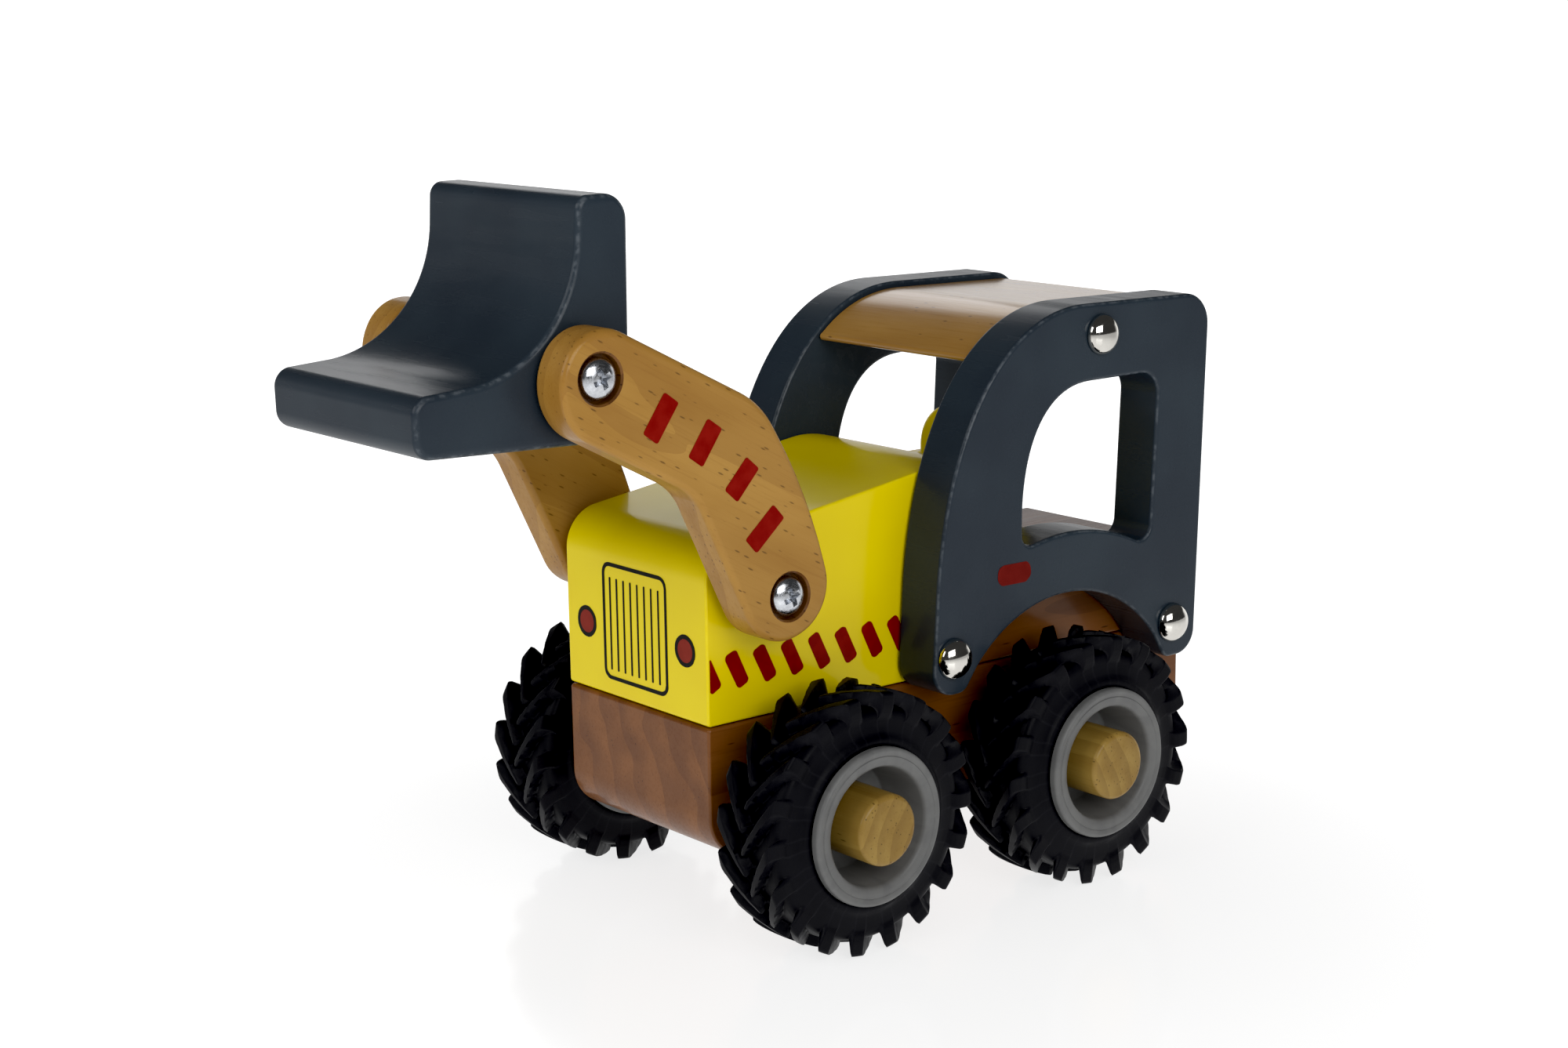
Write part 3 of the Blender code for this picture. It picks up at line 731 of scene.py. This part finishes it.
def make_bucket():
    top = 142.0
    scoop = arc((-51.4, 135.9), 24.4, -4, -84, step=3)
    outline = rounded([(-16.8, 98.7, 9), (-16.2, top, 4.6), (-26.6, top, 2.6)] + scoop
                      + [(-60.6, 110.9, 3.4), (-60.4, 100.3, 3.4)], step=5)
    board("bucket", [outline], grey, edge=1.2)


# Fasteners ---------------------------------------------------------------------------------------

def dome(radius, base, height, step):
    """Points of a dome's section, from its top down to its edge."""
    angles = [math.radians(degrees) for degrees in range(0, 91, step)]
    return [(radius * math.sin(a), base + height * math.cos(a)) for a in angles]


def make_nail(node, sign):
    """Dome-headed nail."""
    tip, top = reach(node)
    seat = top - NAIL_HEAD_HEIGHT
    skirt = [(NAIL_HEAD_RADIUS - 0.25, seat), (NAIL_SHANK_RADIUS, seat), (NAIL_SHANK_RADIUS, tip + 2),
             (0, tip)]
    profile = dome(NAIL_HEAD_RADIUS, seat, NAIL_HEAD_HEIGHT, step=5) + skirt
    turned(node, profile, sign, *middle_yz(node), nickel, steps=64)


def slot_cutter(top, turn):
    """One of the two tapering slots that make the driver's cross in a screw head."""
    depth, clear = 1.6, 0.6
    bottom_halves, top_halves = (0.8, 0.35), (2.5, 0.62)
    shape = bmesh.new()
    for corner in bmesh.ops.create_cube(shape, size=2)["verts"]:
        deep = corner.co.z < 0
        half_long, half_wide = bottom_halves if deep else top_halves
        height = top - depth if deep else top + clear
        corner.co = Vector((corner.co.x * half_long, corner.co.y * half_wide, height)) * MM
        corner.co = Matrix.Rotation(turn, 3, "Z") @ corner.co
    mesh = bpy.data.meshes.new("slot")
    shape.to_mesh(mesh)
    shape.free()
    return mesh


def make_screw(node, pivot, sign):
    """Pan-head screw with a domed, cross-slotted head."""
    tip, cad_top = reach(node)
    top = cad_top + SCREW_LIFT
    seat = top - SCREW_HEAD_HEIGHT
    rim = 0.9
    crown = dome(SCREW_HEAD_RADIUS, seat + rim, SCREW_HEAD_HEIGHT - rim, step=6)
    shank = [(SCREW_HEAD_RADIUS, seat + 0.15), (SCREW_HEAD_RADIUS - 0.2, seat), (SCREW_SHANK_RADIUS, seat),
             (SCREW_SHANK_RADIUS, tip + 4), (0, tip)]
    mesh = turned_mesh(node + "_fine", crown + shank, 64)
    screw = add_piece(node + "_fine", mesh, zinc, sharp_angle=32)
    for turn in (24, 114):
        carve(screw, slot_cutter(top, math.radians(turn)))
    screw.data.transform(axis_place(sign, *pivot))
    stand_for(screw, node)


def make_washer(side, sign):
    node = "arm_washer_" + side
    low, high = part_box(node)
    inner, outer = reach(node)
    bore, radius, ease = SCREW_SHANK_RADIUS + 0.3, (high.z - low.z) / 2 / MM, 0.2
    profile = [(bore, outer), (radius - ease, outer), (radius, outer - ease), (radius, inner + ease),
               (radius - ease, inner), (bore, inner)]
    turned(node, profile, sign, *ARM_PIVOT, zinc, steps=64)


# Wheels ------------------------------------------------------------------------------------------

TREAD_ROWS = 10                             # the section's first rows, which the tread bars rise over
TREAD_SPACING = 0.3                         # how close together the mesh's rows are there

# A tyre's half section from its middle to its bead: (x, radius) between the lugs, then on a lug
SECTION = [
    ((0.0, 22.60), (0.0, 25.00)), ((3.0, 22.55), (3.0, 25.00)), ((5.0, 22.35), (5.6, 25.00)),
    ((5.9, 22.05), (6.9, 24.95)), ((6.4, 21.70), (7.3, 24.80)), ((6.7, 21.30), (7.5, 24.40)),
    ((6.85, 20.9), (7.55, 23.6)), ((6.95, 20.5), (7.55, 22.2)), ((7.02, 20.0), (7.40, 21.0)),
    ((7.05, 19.6), (7.10, 19.9)), ((7.15, 18.6), (7.15, 18.6)), ((7.30, 17.6), (7.30, 17.6)),
    ((7.45, 16.9), (7.45, 16.9)), ((7.75, 16.6), (7.75, 16.6)), ((7.95, 16.2), (7.95, 16.2)),
    ((8.00, 15.7), (8.00, 15.7)), ((7.90, 15.1), (7.90, 15.1)), ((7.40, 14.4), (7.40, 14.4)),
    ((6.60, 13.9), (6.60, 13.9)),
]


def between(a, b, share):
    """A point part of the way from one point to another."""
    return a[0] + (b[0] - a[0]) * share, a[1] + (b[1] - a[1]) * share


def half_section():
    """The half section's points, close together over the tread: (between lugs, on a lug)."""
    rows = []
    for i, (start, end) in enumerate(zip(SECTION, SECTION[1:])):
        length = math.dist(start[1], end[1])
        count = max(1, round(length / TREAD_SPACING)) if i < TREAD_ROWS else 1
        rows += [(between(start[0], end[0], k / count), between(start[1], end[1], k / count))
                 for k in range(count)]
    return rows + [SECTION[-1]]


def lug_height(angle, x):
    """How far up a tread bar a place on the tyre is, from 0 to 1. Angles are in degrees."""
    pitch = 360 / LUGS_PER_ROW
    height = 0.0
    for row in (-1, 1):
        inside_end = x * row + LUG_CROSSING
        if inside_end <= 0:
            continue
        share = min(1.0, max(0.0, (TYRE_HALF - x * row) / TYRE_HALF))
        start = pitch * (0.5 if row > 0 else 0)
        off = (angle - start + pitch / 2) % pitch - pitch / 2
        half = LUG_SHOULDER_HALF + (LUG_MIDDLE_HALF - LUG_SHOULDER_HALF) * share
        inside_side = math.radians(half - abs(off)) * TYRE_RADIUS
        side_lack = max(LUG_CORNER - inside_side, 0)
        end_lack = max(LUG_CORNER - inside_end, 0)
        depth = LUG_CORNER - math.hypot(side_lack, end_lack)
        height = max(height, smooth_step(0.0, LUG_WALL, depth))
    return height


def make_tyre_mesh():
    """One tyre about its own Z: a grid that leans with the tread bars and rises over them."""
    half = half_section()
    rows = [((-b[0], b[1]), (-t[0], t[1])) for b, t in reversed(half[1:])] + half
    steps = LUGS_PER_ROW * STEPS_PER_LUG
    points, marks = [], []
    for i in range(steps):
        straight = 360 * i / steps
        for base, top in rows:
            lean = LUG_SKEW * max(0.0, 1 - abs(top[0]) / TYRE_HALF)
            height = lug_height(straight, top[0])
            x, radius = between(base, top, height)
            angle = math.radians(straight + lean)
            points.append((radius * math.cos(angle) * MM, radius * math.sin(angle) * MM, x * MM))
            marks.append(4 * height * (1 - height))
    count = len(rows)
    faces = []
    for i in range(steps):
        here, there = i * count, (i + 1) % steps * count
        faces += [(here + k, there + k, there + (k + 1) % count, here + (k + 1) % count)
                  for k in range(count)]
    mesh = bpy.data.meshes.new("tyre_fine")
    mesh.from_pydata(points, [], faces)
    edge = mesh.attributes.new("edge", "FLOAT", "POINT")
    edge.data.foreach_set("value", marks)
    shape = bmesh.new()
    shape.from_mesh(mesh)
    bmesh.ops.recalc_face_normals(shape, faces=shape.faces)
    shape.to_mesh(mesh)
    shape.free()
    return mesh


def make_tyre(node, tyre_mesh, axle_y):
    low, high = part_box(node)
    middle = (low.x + high.x) / 2 / MM
    mesh = tyre_mesh.copy()
    turn = Matrix.Rotation(math.pi / 2, 4, "Y")
    mesh.transform(Matrix.Translation(at(middle, axle_y, WHEEL_HEIGHT)) @ turn)
    stand_for(add_piece(node + "_fine", mesh, rubber, sharp_angle=75), node)


def rim_profile():
    """Radius and distance from the toy's middle: cup, moulded lip, tyre bed and inner boss."""
    cup = [(AXLE_BORE, 35.2), (10.2, 35.2), (10.6, 35.6), (11.25, 45.3), (11.5, 45.95)]
    face = [(11.9, 46.25), (12.7, 46.38), (13.3, 46.45), (13.45, 46.3), (13.6, 46.4)]
    lip = round_corner((14.3, 45.8), 0.7, 120, 0)
    bed = [(15.0, 44.9), (13.6, 44.3), (13.6, 29.5), (15.0, 28.8), (15.0, 27.9), (14.7, 27.6)]
    boss = [(12.2, 27.6), (11.4, 32.4), (8.0, 32.4), (7.2, 23.4), (6.9, 23.1), (AXLE_BORE, 23.1)]
    return cup + face + lip + bed + boss


def make_rim(node, sign, axle_y):
    mesh = turned_mesh(node + "_fine", rim_profile(), 96)
    mesh.transform(axis_place(sign, axle_y, WHEEL_HEIGHT))
    stand_for(add_piece(node + "_fine", mesh, plastic, sharp_angle=50), node)


def make_hub_cap(node, sign, axle_y):
    """A round-edged dowel cap with a blind hole for the axle."""
    low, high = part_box(node)
    inner, outer = reach(node)
    radius, ease = (high.z - low.z) / 2 / MM, 1.0
    hole, hole_end, bevel = 4.3, outer - 3.3, 0.3
    edge = round_corner((radius - ease, outer - ease), ease, 90, 0)
    profile = [(0, outer)] + edge + [(radius, inner + bevel), (radius - bevel, inner), (hole, inner),
                                     (hole, hole_end), (0, hole_end)]
    turned(node, profile, sign, axle_y, WHEEL_HEIGHT, dowel)


def make_axle(node, axle_y):
    low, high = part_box(node)
    half, radius = high.x / MM, (high.z - low.z) / 2 / MM
    profile = [(0, half), (radius, half), (radius, -half), (0, -half)]
    turned(node, profile, 1, axle_y, WHEEL_HEIGHT, dowel)


def make_wheels():
    tyre_mesh = make_tyre_mesh()
    for end in ENDS:
        axle_y = middle_yz(end + "_axle")[0]
        make_axle(end + "_axle", axle_y)
        for side, sign in SIDES.items():
            name = f"{end}_{side}"
            make_tyre("tyre_" + name, tyre_mesh, axle_y)
            make_rim("rim_" + name, sign, axle_y)
            make_hub_cap("hub_cap_" + name, sign, axle_y)


# Painted marks -----------------------------------------------------------------------------------

# The waver's noise is drawn from the clock unless it is given a seed.
noise.seed_set(7)


def wobbly(outline, amount, seed):
    """An outline with a hand-painted waver."""
    waved = []
    for y, z in outline:
        shift = noise.noise_vector(Vector((y * 0.9, z * 0.9, seed)))
        waved.append((y + amount * shift.x, z + amount * shift.y))
    return waved


def bar(top, bottom, width, corner, seed):
    """A slanted bar between two points on its centre line, with rounded corners."""
    top, bottom = Vector(top), Vector(bottom)
    along = (bottom - top).normalized()
    aside = Vector((-along.y, along.x)) * width / 2
    corners = [top + aside, bottom + aside, bottom - aside, top - aside]
    return wobbly(rounded([(*c, corner) for c in corners], step=15), 0.12, seed)


def side_mark(name, outlines, sign, surface_x, made_of, body):
    """A painted mark on a face that looks sideways."""
    middle = sign * (surface_x + PAINT_LIFT + PAINT_FILM / 2)
    mesh = cut_flat(name, outlines, PAINT_FILM, 0, across_toy(middle))
    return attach(add_piece(name, mesh, made_of), body)


def front_mark(name, outlines, made_of):
    """A painted mark on the hood's front."""
    middle = -(PAINT_LIFT + PAINT_FILM / 2)
    mesh = cut_flat(name, outlines, PAINT_FILM, 0, facing_front(middle))
    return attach(add_piece(name, mesh, made_of), BODY_OF["hood"])


def make_hood_stripes(side, sign):
    """Slanted red bars along the hood's side. The front edge cuts the first one."""
    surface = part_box("hood")[1].x / MM
    whole_bars, width, corner = 7, 3.0, 0.85
    pitch, first_top, slant, top_z, bottom_z = 6.6, 5.2, 3.2, 56.1, 49.5
    for i in range(whole_bars):
        y = first_top + pitch * i
        outline = bar((y, top_z), (y + slant, bottom_z), width, corner, i + 0.5)
        side_mark(f"hood_stripe_{side}_{i + 2}", [outline], sign, surface, red, BODY_OF["hood"])
    cut_bar = rounded([(0.55, 56.3, 0.2), (3.3, 50.2, 0.8), (1.0, 49.0, 0.5), (0.55, 49.4, 0.2)], step=15)
    side_mark(f"hood_stripe_{side}_1", [wobbly(cut_bar, 0.08, 9.5)], sign, surface, red, BODY_OF["hood"])


def make_arm_stripes(side, sign):
    """Four red bars across each arm's outer face."""
    node = "lift_arm_" + side
    surface = reach(node)[1]
    width, corner = 3.8, 0.5
    ends = [((-14.7, 107.2), (-19.5, 100.4)), ((-5.4, 101.5), (-9.9, 95.2)),
            ((2.8, 93.5), (-2.2, 88.1)), ((8.6, 83.9), (2.1, 78.3))]
    for i, (top, bottom) in enumerate(ends):
        outline = bar(top, bottom, width, corner, i + 20.5)
        side_mark(f"arm_stripe_{side}_{i + 1}", [outline], sign, surface, red, BODY_OF[node])


def make_reflector(side, sign):
    """A dark red reflector, painted low on each panel."""
    node = "cab_panel_" + side
    y, z, half_long, half_high, corner = 67.0, 63.3, 4.4, 2.05, 1.7
    box = rounded_box(y - half_long, y + half_long, z - half_high, z + half_high, corner, step=12)
    outline = wobbly(box, 0.15, 31.5)
    side_mark("panel_reflector_" + side, [outline], sign, reach(node)[1], dark_red, BODY_OF[node])


def make_grille():
    """Black frame and eight upright bars on the hood's front."""
    half, low, high, line = 9.9, 46.4, 68.7, 0.75
    edges = []
    for grow, corner, seed in ((line / 2, 2.3, 41.5), (-line / 2, 1.6, 42.5)):
        box = rounded_box(-half - grow, half + grow, low - grow, high + grow, corner, step=10)
        edges.append(wobbly(box, 0.10, seed))
    outer, inner = edges
    front_mark("grille_frame", [outer, list(reversed(inner))], black)
    first, pitch, bars, width, foot, head = -7.8, 2.2, 8, 0.5, 48.0, 66.2
    for i in range(bars):
        x = first + pitch * i
        box = rounded_box(x - width / 2, x + width / 2, foot, head, 0.2, step=30)
        front_mark(f"grille_bar_{i + 1}", [wobbly(box, 0.06, i + 50.5)], black)


def make_lamps():
    """Two red lamps with black rings on the hood's front."""
    apart, height, ring, disc = 15.7, 56.15, 3.1, 2.25
    for side, sign in SIDES.items():
        centre = (sign * apart, height)
        outer = wobbly(arc(centre, ring, 0, 355, step=5), 0.08, sign + 60.5)
        inner = arc(centre, disc, 0, 355, step=5)
        front_mark("lamp_ring_" + side, [outer, list(reversed(inner))], black)
        front_mark("lamp_" + side, [arc(centre, disc - 0.01, 0, 355, step=5)], lamp_red)


# Stage -------------------------------------------------------------------------------------------

def make_floor():
    """A white sweep that glows: dimmer under the toy as a painted shadow, and pure white further out."""
    half = 3.0
    mesh = bpy.data.meshes.new("floor")
    mesh.from_pydata([(-half, -half, 0), (half, -half, 0), (half, half, 0), (-half, half, 0)], [],
                     [(0, 1, 2, 3)])
    shader = Shader("floor_white")
    where = shader.node("ShaderNodeTexCoord").outputs["Object"]
    distance = shader.node("ShaderNodeVectorMath", operation="LENGTH")
    shader.put(distance.inputs[0], where)
    away = distance.outputs["Value"]
    # The glow is dimmer close to the toy, a painted shadow under it; reflections see a glow that fades
    # further out.
    seen = shader.span(away, 0.06, 0.26, 0.78, 1.02)
    reflected = shader.span(away, 0.10, 0.60, 0.76, 0.40)
    path = shader.node("ShaderNodeLightPath")
    glow_with_painted_shadow = shader.choose(path.outputs["Is Glossy Ray"], seen, reflected)
    shader.set(base_color=(0.28, 0.28, 0.28), roughness=0.18, specular_ior_level=0.35,
               emission_color=(1.0, 1.0, 1.0), emission_strength=glow_with_painted_shadow)
    floor = bpy.data.objects.new("floor", mesh)
    bpy.context.scene.collection.objects.link(floor)
    mesh.materials.append(shader.material)


def add_light(name, place, aim, size, power):
    lamp = bpy.data.lights.new(name, "AREA")
    lamp.shape = "RECTANGLE"
    lamp.size, lamp.size_y = size
    lamp.energy = power
    obj = bpy.data.objects.new(name, lamp)
    bpy.context.scene.collection.objects.link(obj)
    obj.location = place
    obj.rotation_mode = "QUATERNION"
    obj.rotation_quaternion = (Vector(place) - Vector(aim)).to_track_quat("Z", "Y")


def make_world():
    """A white surround to the eye; reflections see a white backdrop behind a dark room."""
    world = bpy.data.worlds.new("studio")
    bpy.context.scene.world = world
    world.use_nodes = True
    nodes = Nodes(world.node_tree)
    direction = nodes.node("ShaderNodeTexCoord").outputs["Generated"]
    behind = nodes.node("ShaderNodeVectorMath", operation="DOT_PRODUCT")
    nodes.put(behind.inputs[0], direction)
    nodes.put(behind.inputs[1], BEHIND_TOY)
    across_backdrop = nodes.span(behind.outputs["Value"], 0.2, 0.7)
    under_backdrop_top = nodes.span(nodes.separate(direction)[2], 0.20, 0.32, 1.0, 0.0)
    backdrop = nodes.math("MULTIPLY", across_backdrop, under_backdrop_top)
    path = nodes.node("ShaderNodeLightPath")
    reflected = nodes.span(backdrop, 0.0, 1.0, 0.04, 1.0)
    seen = nodes.choose(path.outputs["Is Glossy Ray"], AMBIENT, reflected)
    background = world.node_tree.nodes["Background"]
    nodes.put(background.inputs["Strength"], nodes.choose(path.outputs["Is Camera Ray"], seen, 1.05))
    nodes.put(background.inputs["Color"], (1, 1, 1))


def make_studio_lights():
    middle = (0, 0, 0.06)
    add_light("side_box", (0.90, -0.25, 0.50), middle, (0.7, 0.5), 4.2)
    add_light("front_box", (-0.10, -0.92, 0.60), middle, (0.7, 0.5), 3.0)
    add_light("left_box", (-0.74, 0.46, 0.47), middle, (0.42, 0.26), 0.55)


def make_camera():
    turn, rise = math.radians(CAMERA_AZIMUTH), math.radians(CAMERA_ELEVATION)
    back = Vector((math.sin(turn) * math.cos(rise), -math.cos(turn) * math.cos(rise), math.sin(rise)))
    data = bpy.data.cameras.new("camera")
    data.lens = CAMERA_LENS
    data.sensor_width = 36.0
    data.clip_start, data.clip_end = 0.01, 20.0
    camera = bpy.data.objects.new("camera", data)
    bpy.context.scene.collection.objects.link(camera)
    camera.location = Vector(CAMERA_TARGET) + back * CAMERA_DISTANCE
    camera.rotation_mode = "QUATERNION"
    level = back.to_track_quat("Z", "Y")
    camera.rotation_quaternion = level @ Quaternion((0, 0, 1), math.radians(CAMERA_ROLL))
    bpy.context.scene.camera = camera


# The toy -----------------------------------------------------------------------------------------

make_camera()

arm_beech = beech_material("arm_beech", DOWN_ARM)
roof_beech = beech_material("roof_beech", ALONG_X, gloss=0.9, fleck=(4.0, 1.3, 0.35))
dowel = dowel_material()
burnt_beech = painted_shade_beech_material()
stained = stained_material()
yellow = yellow_material()
grey = grey_material()
red = mark_material("red_mark", (0.200, 0.002, 0.001), (0.24, 0.006, 0.003))
dark_red = mark_material("reflector_red", (0.125, 0.005, 0.003), (0.15, 0.008, 0.005))
lamp_red = mark_material("lamp_red", (0.20, 0.018, 0.010), (0.23, 0.024, 0.014))
black = mark_material("black_mark", (0.006, 0.006, 0.004), (0.010, 0.010, 0.008))
rubber = rubber_material()
plastic = plastic_material()
nickel = metal_material("nickel_plate", (0.80, 0.78, 0.73), (0.74, 0.72, 0.67), 0.09, 2.5, 0.004)
zinc = metal_material("zinc_plate", (0.74, 0.76, 0.79), (0.58, 0.60, 0.64), 0.20, 0.8, 0.05)

make_chassis()
make_hood()
make_cab_floor()
make_seat()
make_roof()
make_bucket()
make_wheels()
make_grille()
make_lamps()
for side_name, side_sign in SIDES.items():
    make_cab_panel(side_name)
    make_arm(side_name, side_sign)
    make_screw("arm_screw_" + side_name, ARM_PIVOT, side_sign)
    make_screw("bucket_screw_" + side_name, BUCKET_PIVOT, side_sign)
    make_washer(side_name, side_sign)
    for nail_place in NAIL_PLACES:
        make_nail(f"nail_{side_name}_{nail_place}", side_sign)
    make_hood_stripes(side_name, side_sign)
    make_arm_stripes(side_name, side_sign)
    make_reflector(side_name, side_sign)

make_floor()
make_world()
make_studio_lights()
view = bpy.context.scene.view_settings
view.view_transform = "Standard"
# A studio photograph's deep blacks
view.use_curve_mapping = True
view.curve_mapping.black_level = (0.006, 0.006, 0.006)
